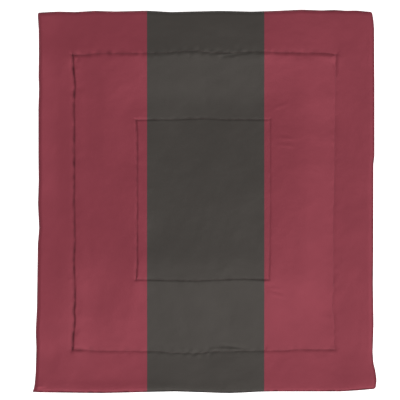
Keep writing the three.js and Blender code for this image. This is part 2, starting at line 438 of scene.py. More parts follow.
CREASES = {
    "fold out of the inner top right corner": Crease((440, 610), (560, 660), 9, 1.5),
    "fold out of the inner bottom right corner": Crease((422, -600), (560, -648), 9, 3.0),
    "second fold there": Crease((415, -578), (520, -592), 8, 2.0),
    "flat fold beside the inner quilting, upper": Crease((470, 425), (620, 417), 8, 1.5),
    "flat fold beside the inner quilting, lower": Crease((470, 380), (600, 367), 8, 1.4),
    "fold along the outer quilting, top": Crease((90, 966), (300, 986), 10, -2.4),
    "fold along the outer quilting, bottom": Crease((30, -975), (250, -987), 9, 2.0),
    "second fold along the outer quilting, bottom": Crease((100, -949), (290, -980), 8, -2.2),
    "pinch at the bottom left corner": Crease((-1150, -1240), (-1050, -1238), 6, 2.6),
    "lower pinch at the bottom left corner": Crease((-1150, -1256), (-1060, -1254), 5, -2.0),
    "hook at the outer top left corner": Crease((-852, 940), (-838, 982), 8, -1.6),
    "fold down from the outer top right corner": Crease((842, 980), (866, 850), 13, -2.2),
    "tick beside the outer left quilting, upper": Crease((-862, 905), (-835, 880), 7, 2.0),
    "tick beside the outer left quilting, middle": Crease((-866, 450), (-838, 435), 7, 1.6),
}


@dataclass(frozen=True)
class Puckers:
    """Small gathers that stand square to a sewn line, along one side of it.

    Attributes:
        spacing: mean distance from one to the next along the line.
        length: how far they run out from the line.
        width: their half width.
        lift: mean height.
        cut: distance from the line past which they are left out.
        tighter: how much higher they are at the middle of the line.
        middle: the place along the line where they are highest.
        middle_reach: distance from it at which that has nearly faded out.
        end_fade: distance from either end of the line over which they fade.
        start: distance from the line over which they rise out of the sewing.
        first: range in which the first one is drawn, in shares of the spacing.
        spacings, lengths, widths, lifts: ranges of each gather, in shares of the mean.
        leans: range of how far it leans along the line, for each step out.
    """

    spacing: float
    length: float
    width: float
    lift: float
    cut: float
    tighter: float = 0.0
    middle: float = 20.0
    middle_reach: float = 190.0
    end_fade: float = 70.0
    start: float = 7.0
    first: tuple[float, float] = (0.2, 1.0)
    spacings: tuple[float, float] = (0.55, 1.45)
    lengths: tuple[float, float] = (0.45, 1.45)
    widths: tuple[float, float] = (0.7, 1.3)
    lifts: tuple[float, float] = (0.3, 1.5)
    leans: tuple[float, float] = (-0.35, 0.35)

    def drawn_up(self, place: float, low: float, high: float) -> float:
        """How high the gathers are at a place on a line, most at its middle and 0 at its ends.

        Args:
            place: the place along the line.
            low, high: where the line starts and ends.

        Returns:
            What the mean height is multiplied by.
        """
        off_middle = (place - self.middle) / self.middle_reach
        drawn = 1.0 + self.tighter * math.exp(-(off_middle**2))
        return drawn * (min(place - low, high - place, self.end_fade) / self.end_fade)

    def height(self, along: Array, out: Array, low: float, high: float, seed: int) -> Array:
        """The gathers along one side of a line.

        Each is a ridge or a trough of bell section that widens and fades out away from the
        line: lift * hill(along - place - lean * out, width) * hill(out, length).

        Args:
            along: distance along the line of every point, one for each row.
            out: distance out from the line of every point, one for each column.
            low, high: where the line starts and ends.
            seed: where the random draws start.

        Returns:
            The height of each point.
        """
        draw = np.random.default_rng(seed)
        total = np.zeros((along.size, out.size))
        place = low + self.spacing * draw.uniform(*self.first)
        sign = 1.0
        while place < high:
            length = self.length * draw.uniform(*self.lengths)
            width = self.width * draw.uniform(*self.widths)
            lift = sign * self.lift * draw.uniform(*self.lifts)
            aside = along[:, None] - place - draw.uniform(*self.leans) * out
            fade = hill(out, length) * (1.0 - np.exp(-out / self.start))
            lift *= self.drawn_up(place, low, high)
            total += lift * hill(aside, width * (1.0 + out / (2.0 * length))) * fade
            place += self.spacing * draw.uniform(*self.spacings)
            sign = -sign
        return total


# The gathers at the upright sides and at the level sides of both quilted rectangles.
OUTER_GATHERS = (
    Puckers(spacing=42.0, length=30.0, width=15.0, lift=0.5, cut=90.0),
    Puckers(spacing=33.0, length=24.0, width=11.0, lift=0.5, cut=90.0, tighter=2.5),
)
INNER_GATHERS = (
    Puckers(spacing=42.0, length=22.0, width=15.0, lift=0.3, cut=66.0),
    Puckers(spacing=33.0, length=17.6, width=11.0, lift=0.3, cut=66.0, tighter=0.6),
)
FIRST_GATHERS_SEED = 101


@dataclass(frozen=True)
class Waves:
    """Random unevenness: waves of random length, direction and phase, about 1 high in all.

    Attributes:
        shortest, longest: range of the wave lengths; a longer wave is higher by as much.
        seed: where the random draws start.
        count: how many waves there are.
        level: what their sum is divided by, to bring it to about 1.
    """

    shortest: float
    longest: float
    seed: int
    count: int = 40
    level: float = math.sqrt(7.0)

    def height(self, x: Array, y: Array) -> Array:
        """The sum of length / longest * sin(2 pi * across / length + phase) over the level.

        Args:
            x, y: straight places.

        Returns:
            The height at each.
        """
        draw = np.random.default_rng(self.seed)
        total = np.zeros_like(x)
        for _ in range(self.count):
            length = draw.uniform(self.shortest, self.longest)
            angle = draw.uniform(0.0, math.pi)
            phase = draw.uniform(0.0, 2.0 * math.pi)
            across = x * math.cos(angle) + y * math.sin(angle)
            total += length / self.longest * np.sin(2.0 * math.pi * across / length + phase)
        return total / self.level


UNEVEN_FILLING = Waves(shortest=110.0, longest=420.0, seed=11)
UNEVEN_STITCHING = Waves(shortest=45.0, longest=160.0, seed=7)
# These waves make the painted shade in the quilting and at the edges uneven.
UNEVEN_PAINTED_SHADE = Waves(shortest=20.0, longest=80.0, seed=5)


@dataclass
class ComforterShell:
    """The two cloths of the comforter, as one closed padded shell.

    A face of fine cells and a back of coarse ones share the seam round the edge. Both are
    grids of straight places, moved by how the sewn lines wander. Where four numbers belong to
    the sides, they are those of the left, the right, the bottom and the top.

    Attributes:
        outline, outer, inner: the edge and the two quilted rectangles, at straight places.
        sewn_height: height of the sewn edge over the floor.
        sewn_thickness: thickness of the comforter where it is quilted through.
        lie_reach: how far the corners of the table of heights are rounded off.
        unevenness: height of the filling's random unevenness.
        stitching_unevenness: share by which the groove is deeper or shallower along its way.
        most_uneven: how many times that share at the most.
        edge_rolls: distance from each edge at which the loft is full.
        edge_painted_shade: share of the cloth's colour taken away at each edge, as painted shade.
        edge_painted_shade_reach: distance at which that has nearly faded out.
        shade_unevenness: share by which the painted shade is uneven.
        most_painted_shade: the most colour that the painted shade takes away anywhere.
        gathers_start: distance from the edge at which the gathers are at their height.
        back_edge_roll: distance from the edge at which the back has come down to the floor.
        back_pinch_roll: the same from the quilting.
        roll_power: how quickly the cloth rises off the edge, sooner for less.
        groove_power: the same in the groove of the quilting.
        corner_radii: radii of the corners, the lower left and right, the upper left and right.
        fine_cell, open_cell: width of the face's cells on the sewn lines and far from them.
        fine_reach: distance from a line at which the cells are nearly at their widest.
        back_every: how many cells of the face are one of the back.
        cut_samples: places at which the cells are counted, between two lines.
        outline_samples: places at which the laid outline is measured, on each side.
    """

    outline: Rectangle = field(default_factory=lambda: Rectangle.between("edge"))
    outer: Rectangle = field(default_factory=lambda: Rectangle.between("outer"))
    inner: Rectangle = field(default_factory=lambda: Rectangle.between("inner"))
    sewn_height: float = 8.0
    sewn_thickness: float = 5.0
    lie_reach: float = 50.0
    unevenness: float = 0.35
    stitching_unevenness: float = 0.12
    most_uneven: float = 1.5
    edge_rolls: tuple[float, float, float, float] = (24.0, 34.0, 22.0, 26.0)
    edge_painted_shade: tuple[float, float, float, float] = (0.26, 0.22, 0.46, 0.28)
    edge_painted_shade_reach: float = 10.0
    shade_unevenness: float = 0.4
    most_painted_shade: float = 0.8
    gathers_start: float = 14.0
    back_edge_roll: float = 45.0
    back_pinch_roll: float = 30.0
    roll_power: float = 0.7
    groove_power: float = 1.0
    corner_radii: tuple[float, float, float, float] = (4.0, 18.0, 13.0, 17.0)
    fine_cell: float = 3.2
    open_cell: float = 10.4
    fine_reach: float = 22.0
    back_every: int = 4
    cut_samples: int = 400
    outline_samples: int = 600

    def __post_init__(self) -> None:
        """Works out the cut places, and which of them the back shares."""
        self.columns, self.back_columns = self.cut_places(UPRIGHT_LINES)
        self.rows, self.back_rows = self.cut_places(LEVEL_LINES)

    def cut_places(self, lines: dict[str, SewnLine]) -> tuple[Array, Array]:
        """Places at which the grid is cut: close at the sewn lines, wider between them.

        Cells per millimetre are 1/open, and up to 1/fine in a hill round each line. Their sum
        between two lines is rounded to whole cells, which are then spread by the same sum.

        Args:
            lines: the sewn lines that the grid has to follow.

        Returns:
            The places, and the indices of those that the back keeps.
        """
        stops = straight_places(lines)
        wide, fine = 1.0 / self.open_cell, 1.0 / self.fine_cell
        places, kept = [stops[:1]], [0]
        for low, high in zip(stops[:-1], stops[1:]):
            at = np.linspace(low, high, self.cut_samples)
            density = wide + (fine - wide) * hill(np.minimum(at - low, high - at), self.fine_reach)
            steps = (density[1:] + density[:-1]) / 2.0 * np.diff(at)
            total = np.concatenate([[0.0], np.cumsum(steps)])
            coarse = round(total[-1] / self.back_every)
            wanted = np.linspace(0.0, total[-1], coarse * self.back_every + 1)[1:]
            places.append(np.interp(wanted, total, at))
            kept += [kept[-1] + self.back_every * (n + 1) for n in range(coarse)]
        return np.concatenate(places), np.array(kept)

    def wandered(self, lines: dict[str, SewnLine], places: Array, along: Array) -> Array:
        """Straight places moved by the wander of the two lines that each lies between.

        Args:
            lines: the sewn lines.
            places: the straight places, across those lines.
            along: the places along them, of the same shape.

        Returns:
            The moved places.
        """
        stops = straight_places(lines)
        shifts = np.stack([line.shift(along) for line in lines.values()])
        upper = np.clip(np.searchsorted(stops, places), 1, stops.size - 1)
        share = (places - stops[upper - 1]) / (stops[upper] - stops[upper - 1])
        low = np.take_along_axis(shifts, (upper - 1)[None], 0)[0]
        high = np.take_along_axis(shifts, upper[None], 0)[0]
        return places + low + (high - low) * share

    def rounded(self, x: Array, y: Array) -> tuple[Array, Array]:
        """Straight places with the four corners of the outline rounded.

        Within a radius of a corner, a and b run from 0 to 1 towards it, and the square that
        they fill becomes a quarter disc: a * sqrt(1 - b^2 / 2) and b * sqrt(1 - a^2 / 2).

        Args:
            x, y: straight places.

        Returns:
            The same places, moved near the corners.
        """
        box = self.outline
        corners = itertools.product((box.bottom, box.top), (box.left, box.right))
        for (corner_y, corner_x), radius in zip(corners, self.corner_radii):
            inward_x = 1.0 if corner_x == box.left else -1.0
            inward_y = 1.0 if corner_y == box.bottom else -1.0
            a = 1.0 - (x - corner_x) * inward_x / radius
            b = 1.0 - (y - corner_y) * inward_y / radius
            near = (a > 0.0) & (b > 0.0)
            disc_a = a * np.sqrt(np.maximum(1.0 - b * b / 2.0, 0.0))
            disc_b = b * np.sqrt(np.maximum(1.0 - a * a / 2.0, 0.0))
            x = np.where(near, corner_x + inward_x * radius * (1.0 - disc_a), x)
            y = np.where(near, corner_y + inward_y * radius * (1.0 - disc_b), y)
        return x, y

    def laid(self, x: Array, y: Array) -> tuple[Array, Array]:
        """Where straight places lie, once the corners and the sewn lines have moved them."""
        x, y = self.rounded(x, y)
        return self.wandered(UPRIGHT_LINES, x, y), self.wandered(LEVEL_LINES, y, x)

    def groove(self, box: Rectangle, sides: dict[str, Quilting], x: Array, y: Array) -> Array:
        """Depth, bank and painted shade beside a quilted rectangle.

        For each side, the distance to its line of stitches is a straight one, round its ends
        too, and the roll and the bank go over from the inner to the outer ones with the
        direction. The deepest, highest and darkest painted shade of the four sides counts, and
        the bank starts from nothing on the line.

        Args:
            box: the rectangle.
            sides: its four sides.
            x, y: straight places.

        Returns:
            The depth of the groove less the bank, and the share of colour that the painted shade
            takes away, one after the other.
        """
        deepest, highest, painted_shade = (np.zeros(np.shape(x)) for _ in range(3))
        off_line = np.ones(np.shape(x))
        ends = [(y, box.bottom, box.top)] * 2 + [(x, box.left, box.right)] * 2
        for side, inward, (along, low, high) in zip(sides.values(), box.inwards(x, y), ends):
            past = np.maximum(np.maximum(low - along, along - high), 0.0)
            tight = side.tight(along, low, high)
            distance = np.hypot(inward, past)
            turn = (1.0 + inward / np.maximum(distance, NO_DISTANCE)) / 2.0
            roll = side.roll_out + (side.roll_in - side.roll_out) * turn
            quick = rise(distance, roll, self.groove_power)
            bank = tight * (side.bank_out + (side.bank_in - side.bank_out) * turn)
            deepest = np.maximum(deepest, tight * side.depth * (1.0 - quick))
            highest = np.maximum(highest, bank * hill(distance, BANK_REACH))
            off_line = np.minimum(off_line, quick)
            painted_shade = np.maximum(painted_shade, tight * side.painted_shade * hill(distance, side.painted_shade_reach))
        return np.stack([deepest - highest * off_line, painted_shade])

    def grooves(self, x: Array, y: Array) -> Array:
        """The depth beside all quilting, and the shade painted into the cloth there.

        Args:
            x, y: straight places.

        Returns:
            The depth and the share of colour that the painted shade takes away, one after the
            other.
        """
        outer = self.groove(self.outer, OUTER_SIDES, x, y)
        inner = self.groove(self.inner, INNER_SIDES, x, y)
        return np.stack([outer[0] + inner[0], np.maximum(outer[1], inner[1])])

    def edge_rise(self, x: Array, y: Array) -> Array:
        """Share of the loft at each place: the product of the rise off each of the four edges.

        Args:
            x, y: straight places.

        Returns:
            The share, from 0 on the sewn edge to 1 past its roll.
        """
        share = 1.0
        for distance, roll in zip(self.outline.inwards(x, y), self.edge_rolls):
            share = share * rise(distance, roll, self.roll_power)
        return share

    def lie(self, x: Array, y: Array) -> Array:
        """Height of the open cloth over the floor, between the rows and columns of the table.

        Args:
            x, y: straight places.

        Returns:
            The height at each.
        """
        across = hats(np.ravel(x), np.array(LIE_ACROSS, float), self.lie_reach)
        up = hats(np.ravel(y), np.array(sorted(LIE), float), self.lie_reach)
        heights = np.array([LIE[row] for row in sorted(LIE)], float)
        return ((up @ heights) * across).sum(axis=1).reshape(np.shape(x))

    def painted_shade_at(self, x: Array, y: Array) -> Array:
        """Painted shade on the cloth in the quilting and at the edge, uneven along the sewing.

        Args:
            x, y: straight places.

        Returns:
            The share of the cloth's colour that the painted shade takes away at each.
        """
        uneven = 1.0 + self.shade_unevenness * UNEVEN_PAINTED_SHADE.height(x, y)
        painted_shade = self.grooves(x, y)[1]
        for distance, share in zip(self.outline.inwards(x, y), self.edge_painted_shade):
            painted_shade = np.maximum(painted_shade, share * hill(distance, self.edge_painted_shade_reach))
        return np.clip(painted_shade * uneven, 0.0, self.most_painted_shade)

    def off_sewing(self, x: Array, y: Array) -> Array:
        """Distance from each straight place to the nearest sewn line."""
        off_quilting = np.minimum(self.outer.off_sides(x, y), self.inner.off_sides(x, y))
        return np.minimum(self.outline.inside(x, y), off_quilting)

    def puckers(self, x: Array, y: Array) -> Array:
        """Gathers along both sides of all the quilting.

        Each rectangle has its upright sides first and then its level ones, for which the grid
        is turned so that its rows run along the side.

        Args:
            x: straight places of the columns.
            y: straight places of the rows.

        Returns:
            Their height, one row for each of y.
        """
        total = np.zeros((y.size, x.size))
        seeds = itertools.count(FIRST_GATHERS_SEED)
        for box, gathers in ((self.outer, OUTER_GATHERS), (self.inner, INNER_GATHERS)):
            upright, level = (box.left, box.right), (box.bottom, box.top)
            ways = ((total, x, upright, y, level), (total.T, y, level, x, upright))
            for kind, (heights, across, lines, along, ends) in zip(gathers, ways):
                for line, sign in itertools.product(lines, (-1.0, 1.0)):
                    out = (across - line) * sign
                    near = (out > 0.0) & (out < kind.cut)
                    heights[:, near] += kind.height(along, out[near], *ends, next(seeds))
        return total

    def bare_height(self, x: Array, y: Array) -> Array:
        """Height of the face over the floor without the gathers.

        It is the sewn height, and the open cloth with its swells and folds over that, by the
        share of the loft that there is, less the grooves.

        Args:
            x, y: straight places.

        Returns:
            The height at each.
        """
        loose = sum(swell.height(x, y) for swell in SWELLS.values())
        loose = loose + self.unevenness * UNEVEN_FILLING.height(x, y)
        loft = self.lie(x, y) + loose - self.sewn_height
        folds = sum(crease.height(x, y) for crease in CREASES.values())
        change = np.clip(UNEVEN_STITCHING.height(x, y), -self.most_uneven, self.most_uneven)
        uneven = 1.0 + self.stitching_unevenness * change
        raised = (loft + folds) * self.edge_rise(x, y)
        return self.sewn_height + raised - self.grooves(x, y)[0] * uneven

    def face_height(self, x: Array, y: Array) -> Array:
        """Height of the face over the floor, with the gathers.

        Args:
            x: straight places of the columns.
            y: straight places of the rows.

        Returns:
            The height of each point, one row for each of y.
        """
        grid_x, grid_y = np.meshgrid(x, y)
        inside = np.clip(self.outline.inside(grid_x, grid_y) / self.gathers_start, 0.0, 1.0)
        return self.bare_height(grid_x, grid_y) + self.puckers(x, y) * inside

    def back_height(self, x: Array, y: Array) -> Array:
        """Height of the back: on the floor, but for the edge and a pinch under the quilting.

        Args:
            x: straight places of the columns.
            y: straight places of the rows.

        Returns:
            The height of each point, one row for each of y.
        """
        grid_x, grid_y = np.meshgrid(x, y)
        inward = self.outline.inside(grid_x, grid_y)
        height = self.sewn_height * (1.0 - rise(inward, self.back_edge_roll, self.roll_power))
        top = self.bare_height(grid_x, grid_y) - self.sewn_thickness
        for box in (self.outer, self.inner):
            distance = box.off_sides(grid_x, grid_y)
            pinch = top * (1.0 - rise(distance, self.back_pinch_roll, self.roll_power))
            height = np.maximum(height, pinch)
        return height

    def middle(self) -> Array:
        """Finds what brings the laid outline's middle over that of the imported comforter.

        Returns:
            How far to the right and how far up.
        """
        box, share = self.outline, np.linspace(0.0, 1.0, self.outline_samples)
        x = box.left + (box.right - box.left) * share
        y = box.bottom + (box.top - box.bottom) * share
        ring_x = np.concatenate([x, x, np.full_like(y, box.left), np.full_like(y, box.right)])
        ring_y = np.concatenate([np.full_like(x, box.bottom), np.full_like(x, box.top), y, y])
        laid = self.laid(ring_x, ring_y)
        own = np.array([places.min() + places.max() for places in laid]) / 2.0
        low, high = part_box(NODE)
        return np.array([low.x + high.x, low.y + high.y]) / 2.0 / MM - own

    def points(self, columns: Array, rows: Array, height: Array) -> Array:
        """Grid points in metres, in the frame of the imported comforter.

        Args:
            columns: straight places across the width.
            rows: straight places up the length.
            height: the height of each point, one row for each of rows.

        Returns:
            An array of rows x columns x 3.
        """
        laid_x, laid_y = self.laid(*np.meshgrid(columns, rows))
        shift = self.middle()
        return np.stack([laid_x + shift[0], laid_y + shift[1], height], axis=-1) * MM

    def build(self) -> bpy.types.Object:
        """Makes the closed shell: first the cells of the face, then those of the back.

        Returns:
            The piece, with smooth faces, a cloth map, the painted shade on its face and its two
            materials' indices.
        """
        height = self.face_height(self.columns, self.rows)
        height = height + DrawnCloth(self).lift(self.columns, self.rows)
        face = self.points(self.columns, self.rows, height)
        face_ids = np.arange(face[..., 0].size).reshape(face.shape[:2])
        columns, rows = self.columns[self.back_columns], self.rows[self.back_rows]
        back = self.points(columns, rows, self.back_height(columns, rows))[1:-1, 1:-1]
        back_ids = face_ids[np.ix_(self.back_rows, self.back_columns)].copy()
        back_ids[1:-1, 1:-1] = face_ids.size + np.arange(back[..., 0].size).reshape(back.shape[:2])
        vertices = np.concatenate([face.reshape(-1, 3), back.reshape(-1, 3)])
        face_cells = cells(face_ids).tolist()
        back_cells = cells(back_ids[1:-1, 1:-1])[:, ::-1].tolist()
        mesh = bpy.data.meshes.new("comforter_shell")
        mesh.from_pydata(vertices.tolist(), [], face_cells + back_cells + rim(face_ids, back_ids))
        mesh.polygons.foreach_set("use_smooth", np.ones(len(mesh.polygons), bool))
        backs = np.zeros(len(mesh.polygons), np.int32)
        backs[len(face_cells):] = 1
        mesh.polygons.foreach_set("material_index", backs)
        map_cloth(mesh, vertices)
        # Painted shade on the face: the share of its colour taken away in the quilting and at the
        # edges.
        painted_shade = np.zeros(len(vertices), np.float32)
        painted_shade[: face_ids.size] = self.painted_shade_at(*np.meshgrid(self.columns, self.rows)).ravel()
        mesh.attributes.new("painted_shade", "FLOAT", "POINT").data.foreach_set("value", painted_shade)
        mesh.validate()
        mesh.update()
        return add_object("comforter_shell", mesh)


def cells(ids: Array) -> Array:
    """The four corners of every cell of a grid of point numbers, anticlockwise from above."""
    return np.stack([ids[:-1, :-1], ids[:-1, 1:], ids[1:, 1:], ids[1:, :-1]], -1).reshape(-1, 4)


def rim(face_ids: Array, back_ids: Array) -> list[list[int]]:
    """The outermost cells of the back, which take in every point of the edge between cuts.

    Each side in turn is brought to the bottom row. A cell there is a stretch of the edge and
    the two points of the back over it, and the corner's cell is the edge on both its sides.

    Args:
        face_ids: point numbers of the face.
        back_ids: point numbers of the back, whose outer points are the face's.

    Returns:
        One face for each cell, pointing down.
    """
    made = []
    for turn in range(4):
        face, back = np.rot90(face_ids, turn), np.rot90(back_ids, turn)
        cuts = np.flatnonzero(np.isin(face[0], back[0]))
        first_up = np.flatnonzero(np.isin(face[:, 0], back[:, 0]))[1]
        made.append([*face[0, : cuts[1] + 1][::-1], *face[1 : first_up + 1, 0], back[1, 1]])
        for n in range(1, cuts.size - 2):
            edge = face[0, cuts[n] : cuts[n + 1] + 1]
            made.append([*edge[::-1], back[1, n], back[1, n + 1]])
    return [[int(number) for number in cell] for cell in made]


def map_cloth(mesh: bpy.types.Mesh, vertices: Array) -> None:
    """Gives a mesh a map of the flat cloth, in metres, from its places on the floor.

    Args:
        mesh: the mesh.
        vertices: its points.
    """
    layer = mesh.uv_layers.new(name="cloth")
    corners = np.empty(len(mesh.loops), np.int32)
    mesh.loops.foreach_get("vertex_index", corners)
    layer.uv.foreach_set("vector", vertices[corners, :2].astype(np.float32).ravel())


def evened(height: Array, times: int = 2) -> Array:
    """A grid of heights with each one averaged with its neighbours, in the shares 1, 2, 1.

    Args:
        height: the heights.
        times: how many times that is done.

    Returns:
        The averaged heights.
    """
    for _ in range(times):
        for _ in range(2):
            wide = np.pad(height, ((1, 1), (0, 0)), mode="edge")
            height = ((wide[:-2] + 2.0 * height + wide[2:]) / 4.0).T
    return height


def add_object(name: str, data: bpy.types.ID) -> bpy.types.Object:
    """Links a mesh, a lamp or a camera to the scene as an object at the origin.

    Args:
        name: of the object.
        data: what it holds.

    Returns:
        The object.
    """
    made = bpy.data.objects.new(name, data)
    bpy.context.scene.collection.objects.link(made)
    return made


# Settings of the simulated cloth, which weighs little and bends easily.
LIMP_CLOTH = {
    "quality": 5,
    "mass": 0.05,
    "tension_stiffness": 15.0,
    "compression_stiffness": 15.0,
    "shear_stiffness": 5.0,
    "bending_stiffness": 0.5,
    "pin_stiffness": 1.0,
    "shrink_min": 0.0,
}


@dataclass
class DrawnCloth:
    """How the face cloth gathers beside its sewing, worked out by a cloth simulation.

    A grid of even cells stands for the face. It is held fast on every sewn line and sprung to
    the filling elsewhere. Beside the sewing it is cut larger than the place that it has, as
    cloth is where stitches draw it up, so it buckles there into gathers.

    Attributes:
        shell: the comforter.
        cell: size of the grid's cells.
        frames: how long the simulation runs.
        slack: share by which the cloth is larger beside the sewing.
        slack_reach: distance from the sewing at which that has nearly faded out.
        on_line: distance from a sewn line up to which the cloth is held fast.
        filling: how firmly the filling holds the cloth in place, where 1 is fast.
        kept: share of the movement that is kept.
        most: the most that a point may rise or sink.
        weight_steps: how many steps there are from no weight to all of it.
    """

    shell: ComforterShell
    cell: float = 13.0
    frames: int = 20
    slack: float = 0.08
    slack_reach: float = 20.0
    on_line: float = 0.5
    filling: float = 0.2
    kept: float = 1.1
    most: float = 5.0
    weight_steps: int = 32

    def stops(self, lines: dict[str, SewnLine]) -> Array:
        """Even places between the sewn lines, with one on each line.

        Args:
            lines: the sewn lines.

        Returns:
            The places, in rising order.
        """
        places = [line.place for line in lines.values()]
        spans = []
        for low, high in zip(places, places[1:]):
            count = round((high - low) / self.cell)
            spans.append(np.linspace(low, high, count + 1)[:-1])
        return np.concatenate([*spans, places[-1:]])

    def weigh(self, piece: bpy.types.Object, name: str, weights: Array) -> None:
        """Gives a piece a named group of its points, with weights rounded to even steps.

        Args:
            piece: the piece.
            name: of the group.
            weights: the weight of each point, from 0 to 1.
        """
        group = piece.vertex_groups.new(name=name)
        rounded = np.round(weights.ravel() * self.weight_steps).astype(int)
        for step in np.unique(rounded):
            numbers = np.flatnonzero(rounded == step).tolist()
            group.add(numbers, step / self.weight_steps, "REPLACE")

    def set_up(self, piece: bpy.types.Object) -> None:
        """Puts the cloth on a piece that has its two groups: thin, limp and without weight.

        Args:
            piece: the piece.
        """
        drawn = piece.modifiers.new("drawn", "CLOTH")
        for name, value in LIMP_CLOTH.items():
            setattr(drawn.settings, name, value)
        drawn.settings.vertex_group_mass = "held"
        drawn.settings.vertex_group_shrink = "slack"
        drawn.settings.shrink_max = -self.slack
        drawn.settings.effector_weights.gravity = 0.0
        drawn.collision_settings.use_collision = False
        drawn.point_cache.frame_start = 1
        drawn.point_cache.frame_end = self.frames

    def run(self) -> tuple[Array, Array, Array]:
        """Runs the simulation, and takes its piece away again.

        Returns:
            The places of the columns and of the rows, and how far each point rises.
        """
        x, y = self.stops(UPRIGHT_LINES), self.stops(LEVEL_LINES)
        start = self.shell.points(x, y, self.shell.face_height(x, y))
        mesh = bpy.data.meshes.new("drawn_cloth")
        quads = cells(np.arange(x.size * y.size).reshape(y.size, x.size))
        mesh.from_pydata(start.reshape(-1, 3).tolist(), [], quads.tolist())
        piece = add_object("drawn_cloth", mesh)
        distance = self.shell.off_sewing(*np.meshgrid(x, y))
        self.weigh(piece, "held", np.where(distance < self.on_line, 1.0, self.filling))
        self.weigh(piece, "slack", hill(distance, self.slack_reach))
        self.set_up(piece)
        scene = bpy.context.scene
        for number in range(1, self.frames + 1):
            scene.frame_set(number)
        solved = piece.evaluated_get(bpy.context.evaluated_depsgraph_get()).to_mesh()
        moved = np.empty(start.size, np.float32)
        solved.vertices.foreach_get("co", moved)
        risen = (moved.reshape(start.shape) - start)[..., 2] / MM
        bpy.data.objects.remove(piece)
        bpy.data.meshes.remove(mesh)
        scene.frame_set(1)
        return x, y, self.most * np.tanh(self.kept * evened(risen) / self.most)

    def lift(self, x: Array, y: Array) -> Array:
        """How far the gathers raise the cloth, and nothing on the sewn lines themselves.

        Args:
            x: straight places of the columns.
            y: straight places of the rows.

        Returns:
            The rise of each point, one row for each of y.
        """
        columns, rows, risen = self.run()
        half = self.cell / 2.0
        raised = hats(y, rows, half) @ risen @ hats(x, columns, half).T
        return raised * (1.0 - hill(self.shell.off_sewing(*np.meshgrid(x, y)), half))


@dataclass
class QuiltingThread:
    """The stitches of both rectangles, as they show on one cloth.

    Attributes:
        shell: the comforter that they are sewn through.
        side: the cloth that they show on.
        pitch: distance from one stitch to the next.
        length: length of the thread that shows of each.
        thickness: of the thread.
        full_share: how far from its middle a stitch is at its full thickness, of its length.
        tip_drop: how far its tips are drawn into the cloth, in shares of the thickness.
    """

    shell: ComforterShell
    side: Side
    pitch: float = 4.0
    length: float = 3.1
    thickness: float = 0.55
    full_share: float = 0.27
    tip_drop: float = 0.2

    def line(self, box: Rectangle) -> tuple[Array, Array, Array]:
        """Places the stitches round one rectangle, on its real line.

        Args:
            box: the rectangle, at straight places.

        Returns:
            The middle of each stitch, its height and its direction.
        """
        corners = [
            (box.left, box.bottom),
            (box.right, box.bottom),
            (box.right, box.top),
            (box.left, box.top),
        ]
        middles, heights, ways = [], [], []
        for (x0, y0), (x1, y1) in zip(corners, corners[1:] + corners[:1]):
            count = int(math.hypot(x1 - x0, y1 - y0) / self.pitch)
            share = (np.arange(count) + 0.5) / count
            ends = []
            for step in (-0.5, 0.5):
                at = share + step * self.length / self.pitch / count
                ends.append(np.stack(self.shell.laid(x0 + (x1 - x0) * at, y0 + (y1 - y0) * at), -1))
            middles.append((ends[0] + ends[1]) / 2.0)
            heights.append(self.shell.bare_height(x0 + (x1 - x0) * share, y0 + (y1 - y0) * share))
            way = ends[1] - ends[0]
            ways.append(way / np.linalg.norm(way, axis=1, keepdims=True))
        return np.concatenate(middles), np.concatenate(heights), np.concatenate(ways)

    def build(self) -> bpy.types.Object:
        """Makes all the stitches as one mesh.

        Each is a bead with four sides: a tip, two rings and a tip along its length, with the
        rings lifted by half a thread's thickness over the cloth.

        Returns:
            The piece.
        """
        lines = [self.line(box) for box in (self.shell.outer, self.shell.inner)]
        middles, heights, ways = (np.concatenate(parts) for parts in zip(*lines))
        middles = middles + self.shell.middle()
        full, drop = self.full_share, -self.tip_drop
        along = np.repeat([-0.5, -full, full, 0.5], [1, 4, 4, 1]) * self.length
        quarter = np.arange(4) * math.pi / 2.0
        ring_side, ring_up = np.sin(quarter) / 2.0, np.cos(quarter) / 2.0 + 0.5
        aside = np.concatenate([[0.0], ring_side, ring_side, [0.0]]) * self.thickness
        up = np.concatenate([[drop], ring_up, ring_up, [drop]]) * self.thickness
        x = middles[:, None, 0] + ways[:, None, 0] * along - ways[:, None, 1] * aside
        y = middles[:, None, 1] + ways[:, None, 1] * along + ways[:, None, 0] * aside
        out, turn = 1.0, slice(None, None, -1)
        if self.side is Side.BACK:
            heights, out, turn = heights - self.shell.sewn_thickness, -1.0, slice(None)
        z = heights[:, None] + out * up
        points = np.stack([x, y, z], -1) * MM
        tips = [(0, 1 + (i + 1) % 4, 1 + i) for i in range(4)]
        tips += [(9, 5 + i, 5 + (i + 1) % 4) for i in range(4)]
        walls = [(1 + i, 1 + (i + 1) % 4, 5 + (i + 1) % 4, 5 + i) for i in range(4)]
        starts = np.arange(len(middles))[:, None, None] * along.size
        ends = (np.array(tips)[None] + starts).reshape(-1, 3)[:, turn]
        sides = (np.array(walls)[None] + starts).reshape(-1, 4)[:, turn]
        name = f"quilting_thread_{self.side.value}"
        mesh = bpy.data.meshes.new(name)
        mesh.from_pydata(points.reshape(-1, 3).tolist(), [], ends.tolist() + sides.tolist())
        mesh.polygons.foreach_set("use_smooth", np.ones(len(mesh.polygons), bool))
        mesh.update()
        return add_object(name, mesh)


@dataclass(frozen=True)
class Cloud:
    """Cloudy noise.

    Attributes:
        scale: how many clouds there are to the metre.
        detail: how many finer layers lie over them.
    """

    scale: float
    detail: float


@dataclass(frozen=True)
class Relief:
    """How far a pattern stands out of a surface.

    Attributes:
        strength: share of the slopes that is kept.
        depth: how deep it is, in millimetres.
    """

    strength: float
    depth: float


def set_inputs(node: bpy.types.Node, values: dict[str, object]) -> None:
    """Sets some of a node's own sockets, by name.

    Args:
        node: the node.
        values: the number or colour of each.
    """
    for name, value in values.items():
        node.inputs[name].default_value = value


